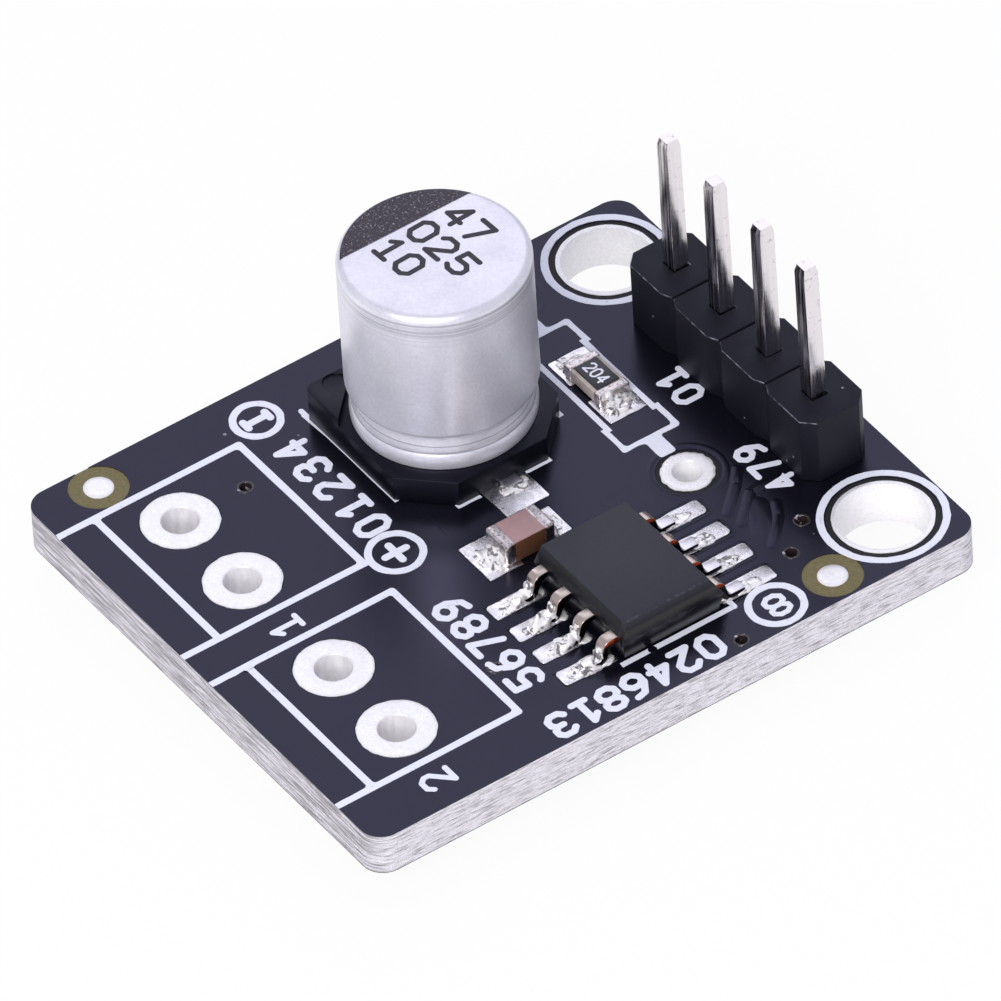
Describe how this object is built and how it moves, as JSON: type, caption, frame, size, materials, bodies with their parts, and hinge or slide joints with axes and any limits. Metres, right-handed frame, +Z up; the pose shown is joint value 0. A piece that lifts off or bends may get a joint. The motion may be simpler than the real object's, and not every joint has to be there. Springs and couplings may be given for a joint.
{
  "type": "dc motor driver module",
  "caption": "Small black circuit board with a motor driver chip, an upright can capacitor, a pin header, plated terminal holes and mounting holes.",
  "frame": {"origin": "midway between the two mounting holes, in the plane of the board's underside", "axes": "+X along the row of header pins and mounting holes, +Y towards the board edge beside that row, +Z up through the board"},
  "size_m": [0.0198, 0.0235, 0.0109],
  "materials": {
    "glass_fibre_laminate": "rough cut glass fibre, whitish grey",
    "black_solder_mask": "smooth blue-black lacquer, semi-gloss",
    "white_ink": "printed white ink, matt",
    "tinned_copper": "hot-dipped tin on copper, bright and slightly wavy",
    "masked_via": "copper barrel under thin lacquer",
    "header_plastic": "black moulded nylon, faintly speckled",
    "header_pin_tin": "tinned brass, drawn, bright",
    "solder": "reflowed solder, lumpy and bright",
    "satin_aluminium": "satin aluminium, fine vertical grain",
    "capacitor_base_plastic": "black moulded resin, semi-gloss",
    "lead_tin": "matt tin plating",
    "chip_mould_compound": "dark grey moulding compound, fine grain",
    "resistor_alumina": "greyish white alumina",
    "resistor_glass_coat": "black glass coat",
    "resistor_end_tin": "tin plating, slightly dull",
    "brown_ceramic": "brown fired ceramic, satin",
    "ceramic_end_tin": "tin plating, pitted and bright"
  },
  "bodies": {
    "root": {"axial_hole_plating_1": "tinned_copper", "axial_hole_plating_2": "tinned_copper", "capacitor_base": "capacitor_base_plastic", "capacitor_can": "satin_aluminium", "capacitor_lands": "tinned_copper", "capacitor_solder": "solder", "capacitor_terminal_1": "lead_tin", "capacitor_terminal_2": "lead_tin", "ceramic_body": "brown_ceramic", "ceramic_end_cap_1": "ceramic_end_tin", "ceramic_end_cap_2": "ceramic_end_tin", "ceramic_lands": "tinned_copper", "ceramic_solder": "solder", "chip_body": "chip_mould_compound", "chip_heat_slug": "lead_tin", "chip_lands": "tinned_copper", "chip_lead_1": "lead_tin", "chip_lead_2": "lead_tin", "chip_lead_3": "lead_tin", "chip_lead_4": "lead_tin", "chip_lead_5": "lead_tin", "chip_lead_6": "lead_tin", "chip_lead_7": "lead_tin", "chip_lead_8": "lead_tin", "chip_solder": "solder", "fiducial_dot_1": "tinned_copper", "fiducial_dot_2": "tinned_copper", "header_hole_plating_1": "tinned_copper", "header_hole_plating_2": "tinned_copper", "header_hole_plating_3": "tinned_copper", "header_hole_plating_4": "tinned_copper", "header_housing": "header_plastic", "header_pin_1": "header_pin_tin", "header_pin_2": "header_pin_tin", "header_pin_3": "header_pin_tin", "header_pin_4": "header_pin_tin", "header_solder_1": "solder", "header_solder_2": "solder", "header_solder_3": "solder", "header_solder_4": "solder", "mounting_hole_plating_1": "tinned_copper", "mounting_hole_plating_2": "tinned_copper", "printed_outlines": "white_ink", "resistor_body": "resistor_alumina", "resistor_end_cap_1": "resistor_end_tin", "resistor_end_cap_2": "resistor_end_tin", "resistor_lands": "tinned_copper", "resistor_overcoat": "resistor_glass_coat", "resistor_solder": "solder", "solder_mask_bottom": "black_solder_mask", "solder_mask_top": "black_solder_mask", "terminal_hole_plating_1": "tinned_copper", "terminal_hole_plating_2": "tinned_copper", "terminal_hole_plating_3": "tinned_copper", "terminal_hole_plating_4": "tinned_copper", "via_platings": "masked_via", "wiring_board": "glass_fibre_laminate"}
  },
  "joints": []
}
